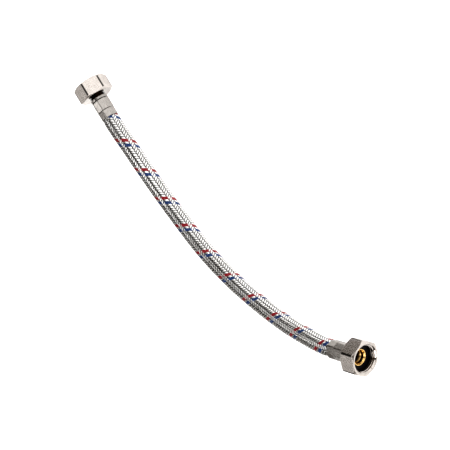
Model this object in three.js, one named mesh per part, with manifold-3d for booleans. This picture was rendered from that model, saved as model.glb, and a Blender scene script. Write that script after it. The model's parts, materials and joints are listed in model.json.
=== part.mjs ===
// A flexible braided supply line: a rubber tube in a woven metal sleeve, with a crimped ferrule,
// a barbed nipple, a rubber washer and a swivel hex nut at each end. Millimetres, +Z up: the line
// lies on the plane z = 0, on one flat of each nut and on the middle of its hose.
import * as THREE from "three";
import { mergeVertices } from "three/addons/utils/BufferGeometryUtils.js";
import Module from "manifold-3d";

const wasm = await Module();
wasm.setup();

// ---- Driving dimensions ----

const GAP = 0.3; // between faces that touch on the real line
const ROUND = 36; // sides of a turned piece

// Where the two nuts' mouths are, and the heading of each end's axis from its mouth into the hose.
const MOUTH_A = [158.25, -3.55];
const HEADING_A = 160;
const MOUTH_B = [-155.95, -5.7];
const HEADING_B = 32;

// Swivel nut, internal thread G 1/2. Distances along an end's axis are from the nut's mouth.
const THREAD_MAJOR = 20.955;
const THREAD_DEPTH = 1.1625;
const NUT_WALL = 1.5225; // from the thread's roots to a flat
const NUT_LENGTH = 12.6;
const NUT_FACE_INSET = 0.2; // from a flat to the ring left at each end by the corner chamfers
const NUT_CHAMFER = 30; // degrees
const MOUTH_BEVEL = 1.2;
const LIP = 2.6; // the wall at the back of the nut, which the nipple's flange pulls on
const NUT_TRAVEL = 1.5; // how far the nut slides back along the neck
const NECK_PLAY = 0.4; // between the neck and the hole in the lip

// Nipple
const WATERWAY = 5.6;
const NECK_WALL = 2.1;
const SPIGOT_BORE = 9;
const SPIGOT_WALL = 1.5;
const SPIGOT_RECESS = 5.6; // from the nut's mouth to the end of the spigot
const SPIGOT_BORE_DEPTH = 3.2; // down to the cone that leads into the waterway
const FLANGE_PLAY = 0.515; // between the flange and the thread's crests
const FLANGE_THICKNESS = 1.4;
const SHOULDER_LENGTH = 1.5; // of the collar that the ferrule hooks on
const TAIL_WALL = 0.9; // at the foot of a barb
const TAIL_LENGTH = 14;
const BARBS = 5;
const BARB_DEPTH = 0.4;
const BARB_SLOPE = 0.9; // share of a barb's pitch that tapers

// Sealing washer
const WASHER_PLAY = 0.315; // between the washer and the thread's crests
const WASHER_THICKNESS = 2;

// Hose
const LINER_WALL = 1.2;
const BRAID_WALL = 0.6;
const HOSE_SIDES = 12;
const STEP_LENGTH = 9;
const STRAIGHT = 5; // held on the axis on each side of the ferrule's end

// Ferrule
const FERRULE_WALL = 0.6;
const COLLAR_RISE = 0.2; // of the round ring at its front, over the crimps
const COLLAR_LENGTH = 2.2;
const CRIMP_SIDES = 8;
const FRONT_CRIMP = 8.4;
const REAR_CRIMP = 6.1;
const GROOVE = 0.5; // width of each of the two grooves
const GROOVE_DEPTH = 0.25;
const EDGE_BEVEL = 0.3;

const PAST = 1; // how far a cutting solid runs past the face that it opens

// The hose's centre line between its two straight ends, laid out by hand: down to the plane, along
// it in one loose bow, and up again.
const ROUTE = [
  [107.9, 14.3, 11.5],
  [88.8, 21.5, 10.1],
  [69.8, 28.9, 8.4],
  [50.4, 35.3, 7.0],
  [30.4, 39.9, 6.6],
  [10.0, 43.2, 6.6],
  [-10.5, 44.4, 6.6],
  [-31.0, 43.7, 6.6],
  [-51.4, 41.2, 6.7],
  [-71.6, 36.8, 7.4],
  [-91.0, 30.0, 9.1],
  [-109.6, 21.3, 11.2],
];

// ---- What follows from them ----

const threadMinor = THREAD_MAJOR - 2 * THREAD_DEPTH;
const nutFlats = THREAD_MAJOR + 2 * NUT_WALL;
const axisHeight = nutFlats / 2;
const neck = WATERWAY + 2 * NECK_WALL;
const spigot = SPIGOT_BORE + 2 * SPIGOT_WALL;
const tail = WATERWAY + 2 * (TAIL_WALL + BARB_DEPTH);
const linerBore = tail + 2 * GAP;
const linerOuter = linerBore + 2 * LINER_WALL;
const sleeveBore = linerOuter + 2 * GAP;
const hose = sleeveBore + 2 * BRAID_WALL;
const ferruleBore = sleeveBore;
const shoulder = ferruleBore - 2 * GAP;
const crimpFlats = ferruleBore + 2 * FERRULE_WALL;
const collar = crimpFlats + 2 * COLLAR_RISE;

// Along an end's axis, from the nut's mouth inwards
const bearingFace = NUT_LENGTH - LIP;
const flangeBack = bearingFace - GAP;
const flangeFront = flangeBack - FLANGE_THICKNESS;
const washerBack = flangeFront - GAP;
const washerFront = washerBack - WASHER_THICKNESS;
const ferruleFront = NUT_LENGTH + NUT_TRAVEL + GAP;
const crimpStart = ferruleFront + COLLAR_LENGTH;
const middleGroove = crimpStart + GROOVE + FRONT_CRIMP;
const ferruleEnd = middleGroove + GROOVE + REAR_CRIMP;
const shoulderFront = ferruleFront + FERRULE_WALL + GAP;
const shoulderBack = shoulderFront + SHOULDER_LENGTH;
const tailEnd = shoulderBack + TAIL_LENGTH;

// ---- Materials ----

const metal = (color, roughness) =>
  new THREE.MeshStandardMaterial({ color, roughness, metalness: 1 });
const rubber = (color) =>
  new THREE.MeshStandardMaterial({ color, roughness: 0.8, metalness: 0 });
const nickel = metal("#d2cdc6", 0.35);
const brass = metal("#c9973f", 0.3);
const stainless = metal("#bdbab4", 0.3);
const wire = metal("#b9bbbb", 0.4);
const seal = rubber("#141216");
const liner = rubber("#1b1b1c");

// ---- Solids ----

// A closed geometry as a solid, and a solid as a geometry.
function solid(geometry) {
  const bare = geometry.clone();
  bare.deleteAttribute("normal");
  bare.deleteAttribute("uv");
  const merged = mergeVertices(bare, 1e-4);
  return new wasm.Manifold(
    new wasm.Mesh({
      numProp: 3,
      vertProperties: merged.attributes.position.array,
      triVerts: new Uint32Array(merged.index.array),
    }),
  );
}

function geometryOf(made) {
  const mesh = made.getMesh();
  const geometry = new THREE.BufferGeometry();
  geometry.setAttribute("position", new THREE.BufferAttribute(mesh.vertProperties, 3));
  geometry.setIndex(new THREE.BufferAttribute(mesh.triVerts, 1));
  geometry.computeVertexNormals();
  return geometry;
}

// A turned solid about local Z. The profile is [radius, distance] pairs, anticlockwise.
function turned(profile) {
  const points = profile.map(([radius, along]) => new THREE.Vector2(radius, along));
  points.push(points[0].clone());
  return new THREE.LatheGeometry(points, ROUND).rotateX(Math.PI / 2);
}

// A prism along local Z with a flat on top and below.
function prism(sides, acrossFlats, from, to) {
  const radius = acrossFlats / 2 / Math.cos(Math.PI / sides);
  const turn = sides % 4 === 0 ? Math.PI / sides : 0;
  const outline = new THREE.Shape();
  for (let i = 0; i < sides; i++) {
    const angle = turn + (i * 2 * Math.PI) / sides;
    const point = [radius * Math.cos(angle), radius * Math.sin(angle)];
    if (i === 0) outline.moveTo(...point);
    else outline.lineTo(...point);
  }
  outline.closePath();
  return new THREE.ExtrudeGeometry(outline, {
    depth: to - from,
    bevelEnabled: false,
  }).translate(0, 0, from);
}

function nut() {
  const face = nutFlats / 2 - NUT_FACE_INSET;
  const corner = nutFlats / 2 / Math.cos(Math.PI / 6) + PAST;
  const rise = (corner - face) * Math.tan(THREE.MathUtils.degToRad(NUT_CHAMFER));
  const envelope = turned([
    [0, 0],
    [face, 0],
    [corner, rise],
    [corner, NUT_LENGTH - rise],
    [face, NUT_LENGTH],
    [0, NUT_LENGTH],
  ]);
  const bore = threadMinor / 2;
  const hole = neck / 2 + NECK_PLAY;
  const hollow = turned([
    [0, -PAST],
    [bore + MOUTH_BEVEL + PAST, -PAST],
    [bore, MOUTH_BEVEL],
    [bore, bearingFace],
    [hole, bearingFace],
    [hole, NUT_LENGTH + PAST],
    [0, NUT_LENGTH + PAST],
  ]);
  const block = solid(prism(6, nutFlats, 0, NUT_LENGTH));
  return geometryOf(block.intersect(solid(envelope)).subtract(solid(hollow)));
}

function washer() {
  const inner = spigot / 2 + GAP;
  const outer = threadMinor / 2 - WASHER_PLAY;
  return turned([
    [inner, washerFront],
    [outer, washerFront],
    [outer, washerBack],
    [inner, washerBack],
  ]);
}

// Spigot, flange, neck, shoulder and barbed tail, with the waterway through it. The wide bore at
// the mouth leads into the waterway by a 45 degree cone.
function nipple() {
  const flange = threadMinor / 2 - FLANGE_PLAY;
  const profile = [
    [SPIGOT_BORE / 2, SPIGOT_RECESS],
    [spigot / 2, SPIGOT_RECESS],
    [spigot / 2, flangeFront],
    [flange, flangeFront],
    [flange, flangeBack],
    [neck / 2, flangeBack],
    [neck / 2, shoulderFront],
    [shoulder / 2, shoulderFront],
    [shoulder / 2, shoulderBack],
  ];
  const pitch = TAIL_LENGTH / BARBS;
  for (let i = 0; i < BARBS; i++) {
    profile.push([tail / 2, shoulderBack + i * pitch]);
    profile.push([tail / 2 - BARB_DEPTH, shoulderBack + (i + BARB_SLOPE) * pitch]);
  }
  const cone = SPIGOT_RECESS + SPIGOT_BORE_DEPTH;
  profile.push([tail / 2 - BARB_DEPTH, tailEnd]);
  profile.push([WATERWAY / 2, tailEnd]);
  profile.push([WATERWAY / 2, cone + (SPIGOT_BORE - WATERWAY) / 2]);
  profile.push([SPIGOT_BORE / 2, cone]);
  return turned(profile);
}

// A round collar, then two eight-sided crimps with a groove before each.
function ferrule() {
  const outer = collar / 2;
  const corner = crimpFlats / 2 / Math.cos(Math.PI / CRIMP_SIDES);
  const groove = crimpFlats / 2 - GROOVE_DEPTH;
  const ring = turned([
    [0, ferruleFront],
    [outer - EDGE_BEVEL, ferruleFront],
    [outer, ferruleFront + EDGE_BEVEL],
    [outer, crimpStart - EDGE_BEVEL],
    [outer - EDGE_BEVEL, crimpStart],
    [groove, crimpStart],
    [groove, crimpStart + GROOVE],
    [0, crimpStart + GROOVE],
  ]);
  const crimpEnvelope = turned([
    [0, crimpStart],
    [corner - EDGE_BEVEL, crimpStart + GROOVE],
    [corner, crimpStart + GROOVE + EDGE_BEVEL],
    [corner, middleGroove - EDGE_BEVEL],
    [groove, middleGroove],
    [groove, middleGroove + GROOVE],
    [corner, middleGroove + GROOVE + EDGE_BEVEL],
    [corner, ferruleEnd - EDGE_BEVEL],
    [corner - EDGE_BEVEL, ferruleEnd],
    [0, ferruleEnd],
  ]);
  const hole = neck / 2 + GAP;
  const hollow = turned([
    [0, ferruleFront - PAST],
    [hole, ferruleFront - PAST],
    [hole, ferruleFront + FERRULE_WALL],
    [ferruleBore / 2, ferruleFront + FERRULE_WALL],
    [ferruleBore / 2, ferruleEnd + PAST],
    [0, ferruleEnd + PAST],
  ]);
  const crimps = solid(prism(CRIMP_SIDES, crimpFlats, crimpStart, ferruleEnd));
  const body = solid(ring).add(crimps.intersect(solid(crimpEnvelope)));
  return geometryOf(body.subtract(solid(hollow)));
}

// A point on an end's axis, at a distance from its mouth.
function onAxis([x, y], heading, along) {
  const angle = THREE.MathUtils.degToRad(heading);
  return new THREE.Vector3(
    x + along * Math.cos(angle),
    y + along * Math.sin(angle),
    axisHeight,
  );
}

// A plain pipe along the route, from a distance along end A's axis to the same on end B's.
function pipe(outer, inner, start) {
  const middle = ROUTE.map((point) => new THREE.Vector3(...point));
  const straight = [start];
  if (start < ferruleEnd - STRAIGHT) straight.push(ferruleEnd - STRAIGHT);
  straight.push(ferruleEnd + STRAIGHT);
  const points = [
    ...straight.map((along) => onAxis(MOUTH_A, HEADING_A, along)),
    ...middle,
    ...straight.reverse().map((along) => onAxis(MOUTH_B, HEADING_B, along)),
  ];
  const path = new THREE.CatmullRomCurve3(points, false, "centripetal");
  const ring = (radius) => {
    const corners = [];
    for (let i = 0; i < HOSE_SIDES; i++) {
      const angle = (i * 2 * Math.PI) / HOSE_SIDES;
      corners.push(new THREE.Vector2(radius * Math.cos(angle), radius * Math.sin(angle)));
    }
    return corners;
  };
  const section = new THREE.Shape(ring(outer / 2));
  section.holes.push(new THREE.Path(ring(inner / 2)));
  return new THREE.ExtrudeGeometry(section, {
    steps: Math.round(path.getLength() / STEP_LENGTH),
    extrudePath: path,
  });
}

// ---- Assembly ----

const supplyLine = new THREE.Group();

function addPiece(parent, name, geometry, material) {
  const mesh = new THREE.Mesh(geometry, material);
  mesh.name = name;
  parent.add(mesh);
}

function addEnd(letter, mouth, heading) {
  const end = new THREE.Group();
  const inward = onAxis([0, 0], heading, 1).setZ(0);
  const up = new THREE.Vector3(0, 0, 1);
  const across = up.clone().cross(inward);
  end.setRotationFromMatrix(new THREE.Matrix4().makeBasis(across, up, inward));
  end.position.copy(onAxis(mouth, heading, 0));
  addPiece(end, "swivel_nut_" + letter, nut(), nickel);
  addPiece(end, "sealing_washer_" + letter, washer(), seal);
  addPiece(end, "nipple_" + letter, nipple(), brass);
  addPiece(end, "ferrule_" + letter, ferrule(), stainless);
  supplyLine.add(end);
}

addEnd("a", MOUTH_A, HEADING_A);
addEnd("b", MOUTH_B, HEADING_B);
addPiece(supplyLine, "braid_sleeve", pipe(hose, sleeveBore, ferruleEnd + GAP), wire);
addPiece(supplyLine, "inner_tube", pipe(linerOuter, linerBore, shoulderBack + GAP), liner);

export default supplyLine;
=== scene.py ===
import json
import math

import bpy
import numpy as np
from bpy.props import FloatProperty, FloatVectorProperty, IntProperty, PointerProperty
from mathutils import Matrix, Vector


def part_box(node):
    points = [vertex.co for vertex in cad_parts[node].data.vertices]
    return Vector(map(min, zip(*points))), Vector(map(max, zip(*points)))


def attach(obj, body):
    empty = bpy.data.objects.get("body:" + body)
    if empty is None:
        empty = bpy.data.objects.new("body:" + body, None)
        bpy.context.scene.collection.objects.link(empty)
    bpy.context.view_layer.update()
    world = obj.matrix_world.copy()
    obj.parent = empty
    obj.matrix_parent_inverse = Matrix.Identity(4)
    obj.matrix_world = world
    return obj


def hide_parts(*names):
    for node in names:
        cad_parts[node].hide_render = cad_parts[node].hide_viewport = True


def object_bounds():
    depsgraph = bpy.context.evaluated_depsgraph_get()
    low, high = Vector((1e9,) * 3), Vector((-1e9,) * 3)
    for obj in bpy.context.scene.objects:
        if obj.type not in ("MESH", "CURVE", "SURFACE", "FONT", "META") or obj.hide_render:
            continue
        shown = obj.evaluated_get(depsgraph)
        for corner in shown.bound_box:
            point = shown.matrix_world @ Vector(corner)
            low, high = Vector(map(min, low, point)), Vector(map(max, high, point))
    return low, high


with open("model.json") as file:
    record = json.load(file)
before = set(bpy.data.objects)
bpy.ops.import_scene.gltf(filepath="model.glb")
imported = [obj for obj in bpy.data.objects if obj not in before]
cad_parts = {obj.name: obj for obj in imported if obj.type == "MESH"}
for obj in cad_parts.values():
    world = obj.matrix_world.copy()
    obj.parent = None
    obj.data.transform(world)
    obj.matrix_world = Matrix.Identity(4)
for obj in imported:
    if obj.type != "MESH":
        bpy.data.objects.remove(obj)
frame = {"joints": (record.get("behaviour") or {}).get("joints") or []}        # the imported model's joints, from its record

CAD_BOX = [list(corner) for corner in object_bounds()]

bl_info = {
    "name": "Braided Supply Line",
    "version": (1, 0, 0),
    "blender": (4, 5, 0),
    "location": "3D View > Sidebar > Supply Line",
    "description": "Builds a woven metal water hose with a swivel nut at each end",
    "category": "Add Mesh",
}

ENDS = ("a", "b")

GAP = 0.0003  # between faces that touch on the real line

# The hose's centre line between its two straight ends, given in metres: down to the
# floor, along it in one loose bow, and up again.
ROUTE = (
    (0.1079, 0.0143, 0.0115),
    (0.0888, 0.0215, 0.0101),
    (0.0698, 0.0289, 0.0084),
    (0.0504, 0.0353, 0.0070),
    (0.0304, 0.0399, 0.0066),
    (0.0100, 0.0432, 0.0066),
    (-0.0105, 0.0444, 0.0066),
    (-0.0310, 0.0437, 0.0066),
    (-0.0514, 0.0412, 0.0067),
    (-0.0716, 0.0368, 0.0074),
    (-0.0910, 0.0300, 0.0091),
    (-0.1096, 0.0213, 0.0112),
)


# ---- Settings in the sidebar ----


def length(name, description, millimetres):
    """A length setting, given here in millimetres and kept in metres."""
    return FloatProperty(
        name=name,
        description=description,
        default=millimetres / 1000,
        unit="LENGTH",
        subtype="DISTANCE",
        precision=5,
    )


def colour(name, description, code):
    """A colour setting, given as an sRGB hex code."""
    return FloatVectorProperty(
        name=name,
        description=description,
        default=linear(code),
        size=4,
        min=0,
        max=1,
        subtype="COLOR",
    )


def linear(code):
    """An sRGB hex code as linear red, green, blue and alpha."""
    values = [int(code[i : i + 2], 16) / 255 for i in (1, 3, 5)]
    return [v / 12.92 if v <= 0.04045 else ((v + 0.055) / 1.055) ** 2.4 for v in values] + [1]


class HoseSettings(bpy.types.PropertyGroup):
    diameter: length("Diameter", "Over the woven sleeve", 13)
    tube: length("Tube", "Outside diameter of the rubber tube", 11.2)
    bore: length("Bore", "Inside diameter of the rubber tube", 8.8)
    lead: length("Lead", "Length in which a band goes once round", 26.7)
    wire: length("Wire", "Diameter of one wire", 0.3)
    wires: IntProperty(name="Wires", description="Wires side by side in a band", default=6, min=3)
    bands: IntProperty(name="Bands", description="Bands wound each way", default=12, min=6)
    cover: FloatProperty(name="Cover", description="A band's share of its room", default=0.74)
    phase: FloatProperty(
        name="Phase",
        description="Where the red band starts, round from the top",
        default=math.radians(113.7),
        subtype="ANGLE",
    )
    over: FloatProperty(
        name="Over",
        description="Where a band lies on top, round from the top",
        default=math.radians(52),
        subtype="ANGLE",
    )
    wire_colour: colour("Wire", "Stainless wire", "#e8e6e2")
    red: colour("Red yarn", "First tracer", "#931a26")
    blue: colour("Blue yarn", "Second tracer", "#214073")


class FittingSettings(bpy.types.PropertyGroup):
    nut_length: length("Nut length", "From mouth to back face", 12.6)
    nut_travel: length("Nut travel", "How far the nut slides back", 1.5)
    face_inset: length("Face inset", "From a flat to the ring left by the chamfers", 0.2)
    thread_major: length("Thread", "Diameter at the roots", 20.955)
    thread_depth: length("Thread depth", "From roots to crests", 1.1625)
    thread_pitch: length("Thread pitch", "Distance between turns", 1.814)
    lip: length("Lip", "Wall at the back of the nut", 2.6)
    neck: length("Neck", "Diameter that the nut turns on", 9.8)
    spigot: length("Spigot", "Outside diameter", 12)
    spigot_bore: length("Spigot bore", "Inside diameter at the mouth", 9)
    spigot_depth: length("Spigot depth", "Depth of the spigot's bore", 3.2)
    recess: length("Recess", "From the nut's mouth to the spigot", 5.6)
    flange: length("Flange", "Diameter of the flange", 17.6)
    flange_thickness: length("Flange thickness", "Along the axis", 1.4)
    waterway: length("Waterway", "Bore through the nipple", 5.6)
    shoulder_length: length("Shoulder", "Ring that the ferrule hooks on", 1.5)
    tail: length("Tail", "Diameter over the barbs", 8.2)
    tail_length: length("Tail length", "Barbed stretch", 14)
    barb_depth: length("Barb depth", "From a barb's edge to its foot", 0.4)
    washer: length("Washer", "Outside diameter", 18)
    washer_thickness: length("Washer thickness", "Along the axis", 2)
    ferrule_wall: length("Ferrule wall", "Thickness of its tube", 0.6)
    collar_rise: length("Collar rise", "Of the ferrule's front ring over the crimps", 0.2)
    collar_length: length("Collar length", "Of the ferrule's front ring", 2.2)
    front_crimp: length("Front crimp", "Along the axis", 8.4)
    rear_crimp: length("Rear crimp", "Along the axis", 6.1)
    groove: length("Groove", "Width of each groove", 0.5)
    groove_depth: length("Groove depth", "Under the crimps", 0.25)
    nut_colour: colour("Nut", "Nickel plate", "#bfb9b4")
    brass_colour: colour("Nipple", "Bare brass", "#dcbc80")
    ferrule_colour: colour("Ferrule", "Stainless tube", "#a5a19d")
    washer_colour: colour("Washer", "Rubber", "#131116")


class StageSettings(bpy.types.PropertyGroup):
    floor_colour: colour("Floor", "Pale matt acrylic", "#f6f6f6")
    distance: length("Camera distance", "From the point looked at", 1369)
    azimuth: FloatProperty(name="Azimuth", default=math.radians(-32.3), subtype="ANGLE")
    elevation: FloatProperty(name="Elevation", default=math.radians(35.9), subtype="ANGLE")
    roll: FloatProperty(name="Roll", default=math.radians(-114.3), subtype="ANGLE")
    lens: FloatProperty(name="Lens", description="Focal length", default=150.7, unit="CAMERA")


def stations(size):
    """Distances along an end's axis from the nut's mouth, by name: each piece starts a gap after the
    one that it seats on, from the nut's lip outwards and from its back face inwards."""
    at = {"bearing": size.nut_length - size.lip}
    at["flange_back"] = at["bearing"] - GAP
    at["flange_front"] = at["flange_back"] - size.flange_thickness
    at["washer_back"] = at["flange_front"] - GAP
    at["washer_front"] = at["washer_back"] - size.washer_thickness
    at["ferrule_front"] = size.nut_length + size.nut_travel + GAP
    at["front_groove"] = at["ferrule_front"] + size.collar_length
    at["front_crimp"] = at["front_groove"] + size.groove
    at["middle_groove"] = at["front_crimp"] + size.front_crimp
    at["rear_crimp"] = at["middle_groove"] + size.groove
    at["ferrule_end"] = at["rear_crimp"] + size.rear_crimp
    at["shoulder_front"] = at["ferrule_front"] + size.ferrule_wall + GAP
    at["shoulder_back"] = at["shoulder_front"] + size.shoulder_length
    at["tail_end"] = at["shoulder_back"] + size.tail_length
    return at


# ---- Shapes ----


def mesh_piece(name, patches, material):
    """Makes one object from closed grids of points.

    Each patch is (points, uv, tone, joined). Its points have one row for each place along and one
    column for each place round. The rows join up where joined is true; if not, a face closes the
    first and the last. Tone is one number for each point, which the material reads."""
    all_points, all_faces, all_uv, all_tones, base = [], [], [], [], 0
    for points, uv, tone, closed_rows in patches:
        rows, columns = points.shape[:2]
        all_tones.append(np.broadcast_to(tone, (rows, columns)).ravel())
        index = base + np.arange(rows * columns).reshape(rows, columns)
        below = index if closed_rows else index[:-1]
        above = np.roll(index, -1, 0) if closed_rows else index[1:]
        quads = np.stack(
            (below, np.roll(below, -1, 1), np.roll(above, -1, 1), above), -1
        ).reshape(-1, 4)
        volume = signed_volume(points.reshape(-1, 3), quads - base)
        if volume < 0:
            quads = quads[:, ::-1]
        all_faces += quads.tolist()
        if not closed_rows:
            first, last = index[0].tolist(), index[-1].tolist()
            all_faces += [last, first[::-1]] if volume >= 0 else [last[::-1], first]
        all_points.append(points.reshape(-1, 3))
        all_uv.append(uv.reshape(-1, 2))
        base += rows * columns
    mesh = bpy.data.meshes.new(name)
    mesh.from_pydata(np.concatenate(all_points).tolist(), [], all_faces)
    corner = np.empty(len(mesh.loops), np.int32)
    mesh.loops.foreach_get("vertex_index", corner)
    layer = mesh.uv_layers.new(name="Surface")
    layer.data.foreach_set("uv", np.concatenate(all_uv)[corner].astype(np.float32).ravel())
    tones = mesh.attributes.new("tone", "FLOAT", "POINT")
    tones.data.foreach_set("value", np.concatenate(all_tones).astype(np.float32))
    mesh.polygons.foreach_set("use_smooth", np.ones(len(mesh.polygons), bool))
    mesh.materials.append(material)
    mesh.update()
    piece = bpy.data.objects.new(name, mesh)
    bpy.context.scene.collection.objects.link(piece)
    return piece


def signed_volume(points, quads):
    """Six times the volume inside the quads: the sum of each one's determinant with the origin moved
    to the points' middle, positive when the faces point out."""
    p = points - points.mean(0)
    a, b, c, d = (p[quads[:, i]] for i in range(4))
    return float((np.cross(a, b) * c).sum() + (np.cross(a, c) * d).sum())


def filleted(corners, sizes, steps=4):
    """Rounds the corners of a closed outline, for every angle at once.

    corners has one row of (radius, along) for each corner and each angle. Each corner becomes a
    quadratic curve that leaves both edges at its size from the corner, with a point a little further
    out on each edge to keep the flats flat."""
    before = np.roll(corners, 1, 0) - corners
    after = np.roll(corners, -1, 0) - corners
    t = np.linspace(0, 1, steps + 1)[:, None, None]
    rows = []
    for corner, back, ahead, size in zip(corners, before, after, sizes):
        back_length = np.linalg.norm(back, axis=-1, keepdims=True)
        ahead_length = np.linalg.norm(ahead, axis=-1, keepdims=True)
        reach = np.minimum(size, 0.3 * np.minimum(back_length, ahead_length))
        start = corner + back / back_length * reach
        end = corner + ahead / ahead_length * reach
        rows.append((corner + back / back_length * reach * 1.5)[None])
        rows.append((1 - t) ** 2 * start + 2 * t * (1 - t) * corner + t**2 * end)
        rows.append((corner + ahead / ahead_length * reach * 1.5)[None])
    return np.concatenate(rows)


def around(sides, each):
    """Angles once round, closer together near the corners of a regular outline with flats on the
    axes: half a side times the sine of an even spread."""
    half = math.pi / sides
    spread = np.sin(np.linspace(-0.5, 0.5, each, endpoint=False) * math.pi)
    flats = np.arange(sides) * 2 * half + math.pi / 2
    return (flats[:, None] + half * spread).ravel()


def polygon(angle, sides, across, sharpness, turn=0.0):
    """Radius of a regular outline at each angle, its corners rounded: half the width over the
    high-power mean of the cosines to each flat."""
    flats = np.arange(sides) * 2 * math.pi / sides + math.pi / 2 + turn
    cosines = np.clip(np.cos(angle[None] - flats[:, None]), 0, None)
    return across / 2 / (cosines**sharpness).sum(0) ** (1 / sharpness)


def outline(angle, *corners):
    """Corners as (radius, along) for every angle; each value is a number or one value for each angle."""
    ones = np.ones_like(angle)
    return np.stack([np.stack((r * ones, u * ones), -1) for r, u in corners])


def end_frame(letter):
    """The mouth's centre and the rows across, up and inward of one end, from its washer's hinge."""
    hinge = next(j for j in frame["joints"] if j["name"] == "washer_spin_" + letter)
    inward = -np.array(hinge["axis"])
    up = np.array((0.0, 0.0, 1.0))
    return np.array(hinge["pos_m"]), np.stack((np.cross(up, inward), up, inward))


def end_patch(letter, angle, rows, tone=None):
    """A closed grid round one end's axis, from rows of (radius, along) at each angle. Its UV is the
    distance round and the distance along the outline, in metres. Where no tone is given, it is the
    distance along the axis in millimetres."""
    mouth, axes = end_frame(letter)
    radius, along = rows[..., 0], rows[..., 1]
    local = np.stack((radius * np.cos(angle), radius * np.sin(angle), along), -1)
    step = np.linalg.norm(np.diff(rows, axis=0, prepend=rows[:1]), axis=-1)
    uv = np.stack((np.broadcast_to(angle * 0.01, radius.shape), np.cumsum(step, 0)), -1)
    return mouth + local @ axes, uv, along * 1000 if tone is None else tone, True


# ---- The hose's centre line ----


class CentreLine:
    """The hose's centre line from one ferrule's end to the other's, even in distance.

    It is a cubic through the route's points and two on each end's axis. The knots are the distances
    between points, and the slopes solve the usual tridiagonal equations for a curve without a jump
    in curvature."""

    DRAWN_IN = 0.003  # length over which the sleeve narrows
    INSIDE = 0.0002  # part of it that a ferrule covers
    STRAIGHT = 0.005
    SAMPLES = 4001

    def __init__(self, ferrule_end):
        (mouth_a, axes_a), (mouth_b, axes_b) = end_frame("a"), end_frame("b")
        on_axis = (ferrule_end, ferrule_end + self.STRAIGHT)
        first = [mouth_a + axes_a[2] * u for u in on_axis]
        last = [mouth_b + axes_b[2] * u for u in reversed(on_axis)]
        points = np.array([*first, *ROUTE, *last])
        gaps = np.linalg.norm(np.diff(points, axis=0), axis=1)
        knots = np.concatenate(([0], np.cumsum(gaps)))
        tangents = self.slopes(points, gaps, axes_a[2], -axes_b[2])
        at = np.linspace(0, knots[-1], self.SAMPLES)
        i = np.clip(np.searchsorted(knots, at, "right") - 1, 0, len(points) - 2)
        h, t = gaps[i][:, None], ((at - knots[i]) / gaps[i])[:, None]
        self.line = (
            (2 * t**3 - 3 * t**2 + 1) * points[i]
            + (t**3 - 2 * t**2 + t) * h * tangents[i]
            + (3 * t**2 - 2 * t**3) * points[i + 1]
            + (t**3 - t**2) * h * tangents[i + 1]
        )
        steps = np.linalg.norm(np.diff(self.line, axis=0), axis=1)
        self.along = np.concatenate(([0], np.cumsum(steps)))
        self.length = float(self.along[-1])
        self.heading = np.gradient(self.line, self.along, axis=0)

    def slopes(self, points, gaps, first, last):
        """The curve's slope at each point, from the first and the last."""
        count = len(points)
        chords = np.diff(points, axis=0) / gaps[:, None]
        matrix, right = np.eye(count), np.zeros((count, 3))
        right[0], right[-1] = first, last
        for i in range(1, count - 1):
            matrix[i, i - 1 : i + 2] = gaps[i], 2 * (gaps[i - 1] + gaps[i]), gaps[i - 1]
            right[i] = 3 * (gaps[i] * chords[i - 1] + gaps[i - 1] * chords[i])
        return np.linalg.solve(matrix, right)

    def points(self, distance, radius, angle):
        """Points at a distance along the hose, a radius from its centre line and an angle round from
        the top, towards the left of its heading. Past the ends the line runs straight on."""
        inside = np.clip(distance, 0, self.length)
        heading = self.at(inside, self.heading)
        heading /= np.linalg.norm(heading, axis=-1, keepdims=True)
        centre = self.at(inside, self.line) + heading * (distance - inside)[..., None]
        up = np.array((0.0, 0.0, 1.0)) - heading * heading[..., 2:]
        up /= np.linalg.norm(up, axis=-1, keepdims=True)
        left = np.cross(up, heading)
        reach = np.asarray(radius)[..., None]
        return centre + reach * (np.cos(angle)[..., None] * up + np.sin(angle)[..., None] * left)

    def at(self, distance, values):
        """Values kept along the line, at these distances."""
        columns = [np.interp(distance, self.along, values[:, k]) for k in range(3)]
        return np.stack(columns, -1)

    def squeeze(self, distance):
        """How much the sleeve is drawn in as it enters each ferrule, from 0 to 1: a smooth step over
        the last few millimetres."""
        near = np.minimum(distance, self.length - distance)
        t = np.clip((self.DRAWN_IN - self.INSIDE - near) / self.DRAWN_IN, 0, 1)
        return t * t * (3 - 2 * t)


UNDER_FERRULE = 0.003  # how far the bands go on under each ferrule
BAND_STEP = 0.0008  # between a band's points, along it
FLATNESS = 2.2  # of the wave that a band rides on; more gives squarer crossings
SLEEVE_DRAWN_IN = 0.0005  # how much the sleeve's radius shrinks at a ferrule, and the tube's
TUBE_DRAWN_IN = 0.0002


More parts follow.
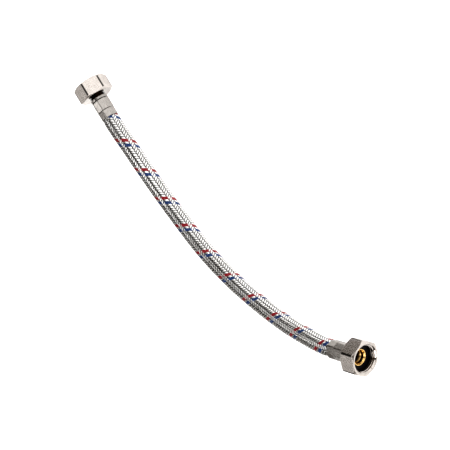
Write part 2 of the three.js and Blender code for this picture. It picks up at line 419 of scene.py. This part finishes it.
def band_patch(centre, hose, turn, number, cover, proud):
    """One band of wires wound round the hose, as a closed strip.

    Its middle runs at the angle start + turn * 2 pi * distance / lead. Across it the wires are
    half-circles side by side. It rides over two crossing bands and under the next two: the radius
    swings by half a wire with the flattened cosine of six times the angle. Its tone is 1 along the
    top of a wire where the band is over, and 0 where it is under."""
    wire = hose.wire
    middle = hose.diameter / 2 - wire
    spacing = 2 * math.pi / hose.bands
    other = 2 * (hose.over - spacing / 4) - hose.phase
    start = (hose.phase if turn > 0 else other) + number * spacing
    slope = math.atan2(2 * math.pi * middle, hose.lead)
    width = spacing * middle * math.cos(slope) * cover
    steps = int((centre.length + 2 * UNDER_FERRULE) / math.cos(slope) / BAND_STEP)
    along = np.linspace(-UNDER_FERRULE, centre.length + UNDER_FERRULE, steps)[:, None]
    ridge = np.arange(3 * hose.wires + 1) / (3 * hose.wires)
    height = wire / 2 * np.sqrt(np.clip(1 - (2 * (ridge * hose.wires % 1) - 1) ** 2, 0, 1))
    foot, sink = 0.46 * width, -0.4 * wire  # the flat underside's half width and depth
    across = np.concatenate(((ridge - 0.5) * width, [foot, -foot]))
    lift = np.concatenate((height, [sink, sink]))
    distance = along - turn * across * math.sin(slope)
    angle = start + turn * 2 * math.pi * along / hose.lead + across * math.cos(slope) / middle
    wave = np.cos(hose.bands / 2 * (angle - hose.over)) * turn
    swing = np.tanh(FLATNESS * (wave + proud)) / math.tanh(FLATNESS)
    radius = middle + swing * wire / 2 + lift - centre.squeeze(distance) * SLEEVE_DRAWN_IN
    uv = np.stack(np.broadcast_arrays(along / math.cos(slope), across), -1)
    # painted shade is read from this tone: low where the band dives under and in the hollows between
    # wires, highest on the wire tops where the band is over
    tone = (0.5 + 0.5 * swing) * (0.55 + 0.45 * lift / lift.max())
    return centre.points(distance, radius, angle), uv, tone, False


# ---- Materials ----


def add(tree, kind, settings=None, inputs=None):
    """Adds a node with its settings. An input is a value, or another node's output to link to it."""
    node = tree.nodes.new(kind)
    for name, value in (settings or {}).items():
        setattr(node, name, value)
    for name, value in (inputs or {}).items():
        if isinstance(value, bpy.types.NodeSocket):
            tree.links.new(value, node.inputs[name])
        else:
            node.inputs[name].default_value = value
    return node


def new_material(name, base, **shader):
    """A material with one Principled shader; its values are set on the shader's own sockets."""
    material = bpy.data.materials.new(name)
    material.use_nodes = True
    tree = material.node_tree
    tree.nodes.clear()
    principled = add(tree, "ShaderNodeBsdfPrincipled", inputs={"Base Color": base})
    for socket, value in shader.items():
        principled.inputs[socket.replace("_", " ").title().replace("Ior", "IOR")].default_value = value
    output = add(tree, "ShaderNodeOutputMaterial")
    tree.links.new(principled.outputs[0], output.inputs[0])
    return material, tree, principled


def pattern(tree, source, scale, detail=2.0, stretch=(1, 1, 1)):
    """Noise on Object or UV coordinates, with this many grains to the metre, stretched by axis."""
    where = add(tree, "ShaderNodeTexCoord").outputs[source]
    fit = add(tree, "ShaderNodeMapping", inputs={"Vector": where, "Scale": stretch})
    return add(
        tree,
        "ShaderNodeTexNoise",
        inputs={"Vector": fit.outputs[0], "Scale": scale, "Detail": detail},
    ).outputs["Fac"]


def spread(tree, value, low, high):
    """A pattern's 0.3 to 0.7 as low to high."""
    return add(
        tree,
        "ShaderNodeMapRange",
        inputs={"Value": value, "From Min": 0.3, "From Max": 0.7, "To Min": low, "To Max": high},
    ).outputs[0]


def blend(tree, value, first, second):
    """Between two colours, by a pattern."""
    mix = add(tree, "ShaderNodeMix", {"data_type": "RGBA"}, {0: value, 6: first, 7: second})
    return mix.outputs[2]


def shade(code, factor):
    """A colour times a factor, with its alpha kept."""
    return [min(1.0, value * factor) for value in code[:3]] + [1]


def bump(tree, principled, height, depth):
    """Raises the surface by a pattern of this depth in metres."""
    node = add(
        tree, "ShaderNodeBump", inputs={"Height": height, "Distance": depth, "Strength": 1.0}
    )
    tree.links.new(node.outputs[0], principled.inputs["Normal"])


def nickel_plate(base):
    """Nickel-plated brass: tumbled outside, so warm grey with a fine orange peel and cloudy patches,
    with dark lines painted along the corners as reflection, where the tone is under 0, cut bright
    inside, where it is over 1, and painted black as shade deeper in."""
    material, tree, principled = new_material("nickel_plated_brass", base, metallic=1, roughness=0.3)
    cloud = pattern(tree, "Object", 260, 3)
    grain = pattern(tree, "Object", 2400, 2)
    tint = blend(tree, spread(tree, cloud, 0, 1), shade(base, 0.86), shade(base, 1.05))
    # painted shade: the nut's inside turns black from about 3.4 mm in from the mouth
    tint = blend(tree, tone_of(tree, 3.6, 4.2), tint, shade(base, 0.03))
    # painted reflection: dark lines along the hexagon's corners, where the tone is under 0
    tint = blend(tree, tone_of(tree, -0.9, -0.5), shade(base, 0.12), tint)
    tree.links.new(tint, principled.inputs["Base Color"])
    cut = tone_of(tree, 0, 1)
    rough = add(
        tree,
        "ShaderNodeMapRange",
        inputs={"Value": cut, "To Min": spread(tree, grain, 0.2, 0.32), "To Max": 0.1},
    ).outputs[0]
    tree.links.new(rough, principled.inputs["Roughness"])
    bump(tree, principled, grain, 0.00002)
    return material


def turned_brass(base):
    """Free-cutting brass as it left the lathe: golden, with fine rings round the axis, and painted
    dark brown from the flange back, as shade on the neck behind the nut."""
    material, tree, principled = new_material("turned_brass", base, metallic=1, roughness=0.22)
    rings = pattern(tree, "UV", 3500, 2, (0.02, 1, 1))
    # painted shade: dark brown from about 8.3 mm in along the axis, on the flange, the neck and the tail
    tint = blend(tree, tone_of(tree, 8.3, 9.8), base, linear("#2a1d12"))
    tree.links.new(tint, principled.inputs["Base Color"])
    tree.links.new(spread(tree, rings, 0.14, 0.3), principled.inputs["Roughness"])
    bump(tree, principled, rings, 0.00001)
    return material


def crimped_stainless(base):
    """Stainless tube, drawn and then pressed in a die: half bright, with faint lines along it, and
    painted shade in the grooves, where the tone (the radius in millimetres) is least."""
    material, tree, principled = new_material("crimped_stainless", base, metallic=1, roughness=0.25)
    lines = pattern(tree, "UV", 5000, 2, (1, 0.04, 1))
    cloud = pattern(tree, "Object", 500, 2)
    tint = blend(tree, spread(tree, cloud, 0, 1), shade(base, 0.85), shade(base, 1.04))
    # painted shade: nearly black where the radius is under about 6.4 mm, in the grooves and the bore
    tint = blend(tree, tone_of(tree, 6.3, 6.42), shade(base, 0.04), tint)
    tree.links.new(tint, principled.inputs["Base Color"])
    tree.links.new(spread(tree, lines, 0.22, 0.36), principled.inputs["Roughness"])
    bump(tree, principled, lines, 0.000012)
    return material


def tone_of(tree, low, high):
    """The mesh's tone, with low to high stretched over 0 to 1."""
    tone = add(tree, "ShaderNodeAttribute", {"attribute_name": "tone"}).outputs["Fac"]
    return add(
        tree, "ShaderNodeMapRange", inputs={"Value": tone, "From Min": low, "From Max": high}
    ).outputs[0]


def stainless_wire(base):
    """Bright drawn stainless wire, each a little different in tone, with painted shade where a band
    dives under the next and in the hollows between its wires."""
    material, tree, principled = new_material("stainless_wire", base, metallic=1, roughness=0.28)
    tone = pattern(tree, "UV", 900, 1, (0.02, 4, 1))
    tint = blend(tree, spread(tree, tone, 0, 1), shade(base, 1.0), shade(base, 1.35))
    # painted shade: nearly black where the tone is low, under the crossing bands and between the wires
    tint = blend(tree, tone_of(tree, 0.48, 0.8), shade(base, 0.02), tint)
    tree.links.new(tint, principled.inputs["Base Color"])
    tree.links.new(spread(tree, tone, 0.2, 0.34), principled.inputs["Roughness"])
    return material


def tracer_yarn(name, base):
    """Dyed nylon yarn laid beside the wires: deep colour, glossy, with a twist that crosses it."""
    material, tree, principled = new_material(name, base, roughness=0.24)
    twist = add(
        tree,
        "ShaderNodeTexWave",
        {"wave_type": "BANDS", "bands_direction": "DIAGONAL"},
        {
            "Vector": add(tree, "ShaderNodeTexCoord").outputs["UV"],
            "Scale": 900,
            "Distortion": 1.5,
            "Detail": 1,
        },
    ).outputs["Fac"]
    tint = blend(tree, twist, shade(base, 0.55), shade(base, 1.25))
    tree.links.new(tint, principled.inputs["Base Color"])
    bump(tree, principled, twist, 0.00005)
    return material


def moulded_rubber(name, base, roughness):
    """Black rubber, moulded and cut: matt, with a fine grain."""
    material, tree, principled = new_material(name, base, roughness=roughness)
    principled.inputs["Specular IOR Level"].default_value = 0.25
    grain = pattern(tree, "Object", 3000, 3)
    cloud = pattern(tree, "Object", 400, 2)
    tint = blend(tree, spread(tree, cloud, 0, 1), shade(base, 0.7), shade(base, 1.6))
    tree.links.new(tint, principled.inputs["Base Color"])
    rough = spread(tree, grain, roughness - 0.1, roughness + 0.12)
    tree.links.new(rough, principled.inputs["Roughness"])
    bump(tree, principled, grain, 0.00004)
    return material


def light_table(base):
    """Matt white acrylic that glows over the middle of the table, as painted light standing in for a
    lamp below, so that shadows on it stay faint; the rest of it is dark in the metal's reflections."""
    material, tree, principled = new_material("light_table", base, roughness=0.9)
    principled.inputs["Emission Color"].default_value = base
    where = add(tree, "ShaderNodeTexCoord").outputs["Object"]
    out = add(tree, "ShaderNodeVectorMath", {"operation": "LENGTH"}, {0: where}).outputs["Value"]
    # painted light: the floor glows within about 0.45 m of its centre, fading out by 0.8 m
    glow = add(
        tree,
        "ShaderNodeMapRange",
        {"interpolation_type": "SMOOTHSTEP"},
        {"Value": out, "From Min": 0.45, "From Max": 0.8, "To Min": 0.62, "To Max": 0},
    ).outputs[0]
    tree.links.new(glow, principled.inputs["Emission Strength"])
    bump(tree, principled, pattern(tree, "Object", 900, 3), 0.00003)
    return material


# ---- Operators: one for each group of pieces, and one for the stage ----


def lay_out(context):
    """The hose's settings, its centre line, and how far the tube runs on under each ferrule."""
    at = stations(context.scene.supply_line_fitting)
    reach = at["ferrule_end"] - at["shoulder_back"] - GAP
    return context.scene.supply_line_hose, CentreLine(at["ferrule_end"]), reach


class SUPPLYLINE_OT_stage(bpy.types.Operator):
    """Makes the floor, the lights, the sky and the camera"""

    bl_idname = "supply_line.stage"
    bl_label = "Stage"

    LOOKED_AT = Vector((-0.0022, 0.0062, 0.007))  # the camera's target, from the middle of the line
    FLOOR_SIDE = 4.0  # half the floor's width

    def execute(self, context):
        stage = context.scene.supply_line_stage
        low, high = (Vector(corner) for corner in CAD_BOX)
        centre = (low + high) / 2
        self.camera(context, stage, Vector((centre.x, 0, 0)) + self.LOOKED_AT)
        self.floor(stage, low.z)
        self.lights(centre)
        self.sky(context)
        context.scene.view_settings.view_transform = "Standard"
        context.scene.view_settings.look = "High Contrast"
        return {"FINISHED"}

    def camera(self, context, stage, target):
        """Looks at the target from its azimuth and elevation, then rolls about its own axis."""
        a, e = stage.azimuth, stage.elevation
        back = Vector((math.sin(a) * math.cos(e), -math.cos(a) * math.cos(e), math.sin(e)))
        data = bpy.data.cameras.new("Camera")
        data.lens = stage.lens
        data.sensor_width = 36
        data.clip_end = 20
        camera = bpy.data.objects.new("Camera", data)
        turn = back.to_track_quat("Z", "Y").to_matrix().to_4x4()
        camera.matrix_world = (
            Matrix.Translation(target + back * stage.distance)
            @ turn
            @ Matrix.Rotation(stage.roll, 4, "Z")
        )
        context.scene.collection.objects.link(camera)
        context.scene.camera = camera

    def floor(self, stage, height):
        """A wide flat sheet at the object's foot."""
        side = self.FLOOR_SIDE
        around_it = ((-side, -side), (side, -side), (side, side), (-side, side))
        corners = [(x, y, height) for x, y in around_it]
        mesh = bpy.data.meshes.new("floor")
        mesh.from_pydata(corners, [], [(0, 1, 2, 3)])
        mesh.materials.append(light_table(list(stage.floor_colour)))
        floor = bpy.data.objects.new("floor", mesh)
        bpy.context.scene.collection.objects.link(floor)

    def lights(self, centre):
        """Soft boxes: (name, place from the centre, width, height, brightness), where 1 is as bright
        as white paper in full light. A box's power is pi times its area and brightness."""
        for name, place, width, height, brightness in (
            ("key", (0.0, -1.25, 0.62), 2.3, 1.25, 1.25),
            ("side", (-1.5, 0.0, 1.3), 1.4, 1.2, 3.6),
            ("back", (0.75, 1.2, 0.9), 1.0, 0.7, 0.7),
            ("top", (0.42, 0.4, 1.4), 1.0, 0.4, 3.0),
        ):
            data = bpy.data.lights.new(name, "AREA")
            data.shape = "RECTANGLE"
            data.size, data.size_y = width, height
            data.energy = math.pi * width * height * brightness
            light = bpy.data.objects.new(name, data)
            light.location = centre + Vector(place)
            light.rotation_euler = (-Vector(place)).to_track_quat("-Z", "Y").to_euler()
            bpy.context.scene.collection.objects.link(light)

    def sky(self, context):
        """A studio's even light: grey at the horizon, darker overhead."""
        world = bpy.data.worlds.new("studio")
        world.use_nodes = True
        tree = world.node_tree
        tree.nodes.clear()
        where = add(tree, "ShaderNodeTexCoord").outputs["Generated"]
        height = add(tree, "ShaderNodeSeparateXYZ", inputs={0: where}).outputs["Z"]
        tone = add(
            tree,
            "ShaderNodeMapRange",
            {"interpolation_type": "SMOOTHSTEP"},
            {"Value": height, "From Min": 0.1, "From Max": 0.6, "To Min": 0.12, "To Max": 0.07},
        ).outputs[0]
        sky = add(tree, "ShaderNodeBackground", inputs={"Color": linear("#fff1e2"), "Strength": tone})
        output = add(tree, "ShaderNodeOutputWorld")
        tree.links.new(sky.outputs[0], output.inputs[0])
        context.scene.world = world


class SUPPLYLINE_OT_tube(bpy.types.Operator):
    bl_idname = "supply_line.tube"
    bl_label = "Rubber tube"

    def execute(self, context):
        hose, centre, reach = lay_out(context)
        along = np.linspace(-reach, centre.length + reach, 260)
        angle = np.linspace(0, 2 * math.pi, 48, endpoint=False)
        distance = np.concatenate((along, along[::-1]))[:, None]
        outer = hose.tube / 2 - centre.squeeze(along) * TUBE_DRAWN_IN
        radius = np.concatenate((outer, np.full_like(along, hose.bore / 2)))[:, None]
        points = centre.points(distance + 0 * angle, radius + 0 * angle, angle + 0 * distance)
        uv = np.stack(np.broadcast_arrays(angle * hose.tube / 2, distance), -1)
        rubber = moulded_rubber("epdm_rubber", linear("#17171a"), 0.6)
        tube = mesh_piece("rubber_tube", [(points, uv, 0, True)], rubber)
        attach(tube, "hose")
        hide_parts("inner_tube")
        return {"FINISHED"}


class SUPPLYLINE_OT_braid(bpy.types.Operator):
    """Weaves the wire sleeve, with its two tracer yarns"""

    bl_idname = "supply_line.braid"
    bl_label = "Braid"

    # A tracer is wider than its room and stands out, so the yarn looks thick between the wires
    TRACER_COVER = 1.3
    TRACER_PROUD = 0.75

    def execute(self, context):
        hose, centre, reach = lay_out(context)
        wire = stainless_wire(list(hose.wire_colour))
        red_yarn = tracer_yarn("red_nylon_yarn", list(hose.red))
        blue_yarn = tracer_yarn("blue_nylon_yarn", list(hose.blue))
        tracer = (self.TRACER_COVER, self.TRACER_PROUD)
        half = hose.bands // 2
        blue = hose.bands - 2
        plain = [i for i in range(hose.bands) if i not in (0, blue)]
        groups = (
            ("wire_bands_right_1", -1, range(half), wire, "braid_wire"),
            ("wire_bands_right_2", -1, range(half, hose.bands), wire, "braid_wire"),
            ("wire_bands_left_1", 1, plain[: len(plain) // 2], wire, "braid_wire"),
            ("wire_bands_left_2", 1, plain[len(plain) // 2 :], wire, "braid_wire"),
            ("red_tracer", 1, [0], red_yarn, "tracer_red"),
            ("blue_tracer", 1, [blue], blue_yarn, "tracer_blue"),
        )
        for name, turn, numbers, material, slot in groups:
            cover, proud = (hose.cover, 0.0) if material == wire else tracer
            patches = [band_patch(centre, hose, turn, i, cover, proud) for i in numbers]
            piece = mesh_piece(name, patches, material)
            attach(piece, "hose")
        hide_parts("braid_sleeve")
        along = np.linspace(-reach, centre.length + reach, 261)
        centre.points(along, 0 * along, 0 * along).tolist()
        return {"FINISHED"}


class SUPPLYLINE_OT_nuts(bpy.types.Operator):
    """Makes the two swivel hex nuts with their internal threads"""

    bl_idname = "supply_line.nuts"
    bl_label = "Swivel nuts"

    # The plating's tone falls from 0 to -1 at the corners between the flats, which paints a dark
    # reflection there, except within EDGE_ENDS of each face. Inside the nut it is 1 at the mouth and
    # rises with depth, by the two settings below, which paints the inside black as shade
    EDGE_FROM = 0.965  # share of the greatest radius
    EDGE_WIDTH = 0.02
    EDGE_ENDS = 0.001
    EDGE_FADE = 0.0005
    # how far in, and how fast, the tone rises towards the painted black shade inside the nut
    PAINTED_SHADE_DEPTH = 0.0042
    PAINTED_SHADE_RATE = 0.0013
    SHARPNESS = 44  # of the hexagon's corners
    LIP_CLEARANCE = 0.0004
    MOUTH_CLEARANCE = 0.0002
    RELIEF = 0.0012  # plain stretch between the thread and the lip
    RELIEF_RUN_OUT = 0.0004

    def execute(self, context):
        size = context.scene.supply_line_fitting
        plate = nickel_plate(list(size.nut_colour))
        angle = around(6, 26)
        rows = self.outline(size, angle)
        inside = rows[..., 0] < size.thread_major / 2 + GAP
        from_end = np.minimum(rows[..., 1], size.nut_length - rows[..., 1])
        between = np.clip((from_end - self.EDGE_ENDS) / self.EDGE_FADE, 0, 1)
        share = rows[..., 0] / rows[..., 0].max()
        edge = np.clip(share - self.EDGE_FROM, 0, self.EDGE_WIDTH) / self.EDGE_WIDTH
        depth = np.clip(rows[..., 1], 0, self.PAINTED_SHADE_DEPTH) / self.PAINTED_SHADE_RATE
        tone = inside * (1 + depth) - edge * between
        for letter in ENDS:
            nut = mesh_piece("nut_" + letter, [end_patch(letter, angle, rows, tone)], plate)
            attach(nut, "nut_" + letter)
            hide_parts("swivel_nut_" + letter)
        return {"FINISHED"}

    def outline(self, size, angle):
        """The nut's outline at each angle: a hexagon cut at both ends by a 30 degree cone, the lip's
        hole, and the thread, whose radius follows a rounded tooth once each pitch and moves one pitch
        along in a turn."""
        low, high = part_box("swivel_nut_a")
        flats = high[2] - low[2]
        hexagon = polygon(angle, 6, flats, self.SHARPNESS)
        face = flats / 2 - size.face_inset
        drop = (hexagon - face) * math.tan(math.radians(30))
        back, bearing = size.nut_length, stations(size)["bearing"]
        hole = size.neck / 2 + self.LIP_CLEARANCE
        major = size.thread_major / 2
        minor = major - size.thread_depth
        mouth = major + self.MOUTH_CLEARANCE
        shell = filleted(
            outline(
                angle,
                (mouth, 0),
                (face, 0),
                (hexagon, drop),
                (hexagon, back - drop),
                (face, back),
                (hole, back),
                (hole, bearing),
                (major, bearing),
            ),
            (0.00012, 0.00025, 0.0003, 0.0003, 0.00025, 0.0003, 0.0001, 0.0001),
        )
        along = np.arange(bearing - 0.0002, 0.00015, -size.thread_pitch / 16)[:, None]
        turn = (along / size.thread_pitch - angle / (2 * math.pi)) % 1
        tooth = np.clip(1.35 * (1 - 2 * np.abs(turn - 0.5)) - 0.17, 0, 1)
        tooth = tooth * tooth * (3 - 2 * tooth)
        relief = np.clip((along - (bearing - self.RELIEF)) / self.RELIEF_RUN_OUT, 0, 1)
        depth = np.maximum(1 - tooth, relief)
        cone = mouth - along
        radius = np.maximum(minor + (major - minor) * depth, cone)
        thread = np.stack(np.broadcast_arrays(radius, along), -1)
        return np.concatenate((shell, thread))


class SUPPLYLINE_OT_washers(bpy.types.Operator):
    """Makes the two sealing washers"""

    bl_idname = "supply_line.washers"
    bl_label = "Sealing washers"

    def execute(self, context):
        size = context.scene.supply_line_fitting
        rubber = moulded_rubber("black_rubber", list(size.washer_colour), 0.5)
        angle = np.linspace(0, 2 * math.pi, 120, endpoint=False)
        inner, outer = size.spigot / 2 + GAP, size.washer / 2
        at = stations(size)
        front, back = at["washer_front"], at["washer_back"]
        corners = outline(angle, (inner, front), (outer, front), (outer, back), (inner, back))
        rows = filleted(corners, (0.0003, 0.0004, 0.0003, 0.0003))
        for letter in ENDS:
            washer = mesh_piece("washer_" + letter, [end_patch(letter, angle, rows)], rubber)
            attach(washer, "washer_" + letter)
            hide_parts("sealing_washer_" + letter)
        return {"FINISHED"}


class SUPPLYLINE_OT_nipples(bpy.types.Operator):
    """Makes the two turned brass nipples with their barbed tails"""

    bl_idname = "supply_line.nipples"
    bl_label = "Nipples"

    BARBS = 5
    BARB_EDGE = 0.05  # where a barb is highest, as a share of its pitch
    BARB_FOOT = 0.9
    SHOULDER_RISE = 0.0009
    CHAMFER_WIDTH = 0.0008  # at the spigot's bore
    CHAMFER_DEPTH = 0.0011

    def execute(self, context):
        size = context.scene.supply_line_fitting
        brass = turned_brass(list(size.brass_colour))
        angle = np.linspace(0, 2 * math.pi, 120, endpoint=False)
        rows = self.outline(size, angle)
        for letter in ENDS:
            nipple = mesh_piece("brass_nipple_" + letter, [end_patch(letter, angle, rows)], brass)
            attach(nipple, "hose")
            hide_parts("nipple_" + letter)
        return {"FINISHED"}

    def outline(self, size, angle):
        """Spigot, flange, neck, shoulder and barbs outside; waterway and counterbore inside."""
        at = stations(size)
        bore, mouth = size.waterway / 2, size.spigot_bore / 2
        neck, spigot, tail = size.neck / 2, size.spigot / 2, size.tail / 2
        shoulder = tail + size.ferrule_wall + self.SHOULDER_RISE
        corners = [
            (mouth + self.CHAMFER_WIDTH, size.recess),
            (spigot, size.recess),
            (spigot, at["flange_front"]),
            (size.flange / 2, at["flange_front"]),
            (size.flange / 2, at["flange_back"]),
            (neck, at["flange_back"]),
            (neck, at["shoulder_front"]),
            (shoulder, at["shoulder_front"]),
            (shoulder, at["shoulder_back"]),
        ]
        fillets = [0.0002, 0.0004, 0.0002, 0.0002, 0.0002, 0.0003, 0.0002, 0.0002, 0.0002]
        pitch = size.tail_length / self.BARBS
        for i in range(self.BARBS):
            start = at["shoulder_back"] + i * pitch
            corners.append((tail, start + self.BARB_EDGE * pitch))
            corners.append((tail - size.barb_depth, start + self.BARB_FOOT * pitch))
            fillets += [0.0001, 0.0002]
        cone = size.recess + size.spigot_depth
        corners += [
            (tail - size.barb_depth, at["tail_end"]),
            (bore, at["tail_end"]),
            (bore, cone + mouth - bore),
            (mouth, cone),
            (mouth, size.recess + self.CHAMFER_DEPTH),
        ]
        fillets += [0.0002, 0.0002, 0.0003, 0.0003, 0.0001]
        return filleted(outline(angle, *corners), fillets)


class SUPPLYLINE_OT_ferrules(bpy.types.Operator):
    """Makes the two crimped ferrules"""

    bl_idname = "supply_line.ferrules"
    bl_label = "Ferrules"

    # How far round each end's flats are turned, at its front crimp and its rear one, in degrees
    TURNS = {"a": (28.6, 33), "b": (16.6, 21)}
    SHARPNESS = 110  # of the crimps' corners

    def execute(self, context):
        size = context.scene.supply_line_fitting
        steel = crimped_stainless(list(size.ferrule_colour))
        angle = around(8, 20)
        for letter in ENDS:
            rows = self.outline(size, angle, *self.TURNS[letter])
            patch = end_patch(letter, angle, rows, rows[..., 0] * 1000)
            ferrule = mesh_piece("crimped_ferrule_" + letter, [patch], steel)
            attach(ferrule, "hose")
            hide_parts("ferrule_" + letter)
        return {"FINISHED"}

    def outline(self, size, angle, front_turn, rear_turn):
        """A round collar, then two eight-sided crimps with a groove before each."""
        at = stations(size)
        hose = bpy.context.scene.supply_line_hose
        bore = hose.tube / 2 + GAP
        flat = bore + size.ferrule_wall
        collar, groove = flat + size.collar_rise, flat - size.groove_depth
        front = polygon(angle, 8, 2 * flat, self.SHARPNESS, math.radians(front_turn))
        rear = polygon(angle, 8, 2 * flat, self.SHARPNESS, math.radians(rear_turn))
        hole = size.neck / 2 + GAP
        slope = 0.0002  # run of each groove's sides
        corners = (
            (hole, at["ferrule_front"]),
            (collar, at["ferrule_front"]),
            (collar, at["front_groove"] - slope),
            (groove, at["front_groove"]),
            (groove, at["front_crimp"] - slope),
            (front, at["front_crimp"]),
            (front, at["middle_groove"]),
            (groove, at["middle_groove"] + slope),
            (groove, at["rear_crimp"] - slope),
            (rear, at["rear_crimp"]),
            (rear, at["ferrule_end"] - slope),
            (rear - slope, at["ferrule_end"]),
            (bore, at["ferrule_end"]),
            (bore, at["ferrule_front"] + size.ferrule_wall),
            (hole, at["ferrule_front"] + size.ferrule_wall - slope),
        )
        fillets = (  # one for each corner
            0.0001, 0.0005, 0.0004, 0.0002, 0.0002, 0.0003, 0.0003, 0.0002,
            0.0002, 0.0003, 0.0001, 0.0001, 0.0001, 0.0002, 0.0001,
        )
        return filleted(outline(angle, *corners), fillets)


class SUPPLYLINE_PT_panel(bpy.types.Panel):
    """Lists the settings and the steps that build the line"""

    bl_label = "Supply Line"
    bl_idname = "SUPPLYLINE_PT_panel"
    bl_space_type = "VIEW_3D"
    bl_region_type = "UI"
    bl_category = "Supply Line"

    def draw(self, context):
        for group in ("supply_line_hose", "supply_line_fitting", "supply_line_stage"):
            box = self.layout.box()
            settings = getattr(context.scene, group)
            for name in settings.__annotations__:
                box.prop(settings, name)
        for operator in OPERATORS:
            self.layout.operator(operator.bl_idname)


OPERATORS = (
    SUPPLYLINE_OT_stage,
    SUPPLYLINE_OT_tube,
    SUPPLYLINE_OT_braid,
    SUPPLYLINE_OT_nuts,
    SUPPLYLINE_OT_washers,
    SUPPLYLINE_OT_nipples,
    SUPPLYLINE_OT_ferrules,
)
CLASSES = (HoseSettings, FittingSettings, StageSettings, *OPERATORS, SUPPLYLINE_PT_panel)


def register():
    for cls in CLASSES:
        bpy.utils.register_class(cls)
    bpy.types.Scene.supply_line_hose = PointerProperty(type=HoseSettings)
    bpy.types.Scene.supply_line_fitting = PointerProperty(type=FittingSettings)
    bpy.types.Scene.supply_line_stage = PointerProperty(type=StageSettings)


def unregister():
    del bpy.types.Scene.supply_line_stage
    del bpy.types.Scene.supply_line_fitting
    del bpy.types.Scene.supply_line_hose
    for cls in reversed(CLASSES):
        bpy.utils.unregister_class(cls)


def main():
    register()
    bpy.ops.supply_line.stage()
    bpy.ops.supply_line.tube()
    bpy.ops.supply_line.braid()
    bpy.ops.supply_line.nuts()
    bpy.ops.supply_line.washers()
    bpy.ops.supply_line.nipples()
    bpy.ops.supply_line.ferrules()


if __name__ == "__main__":
    main()
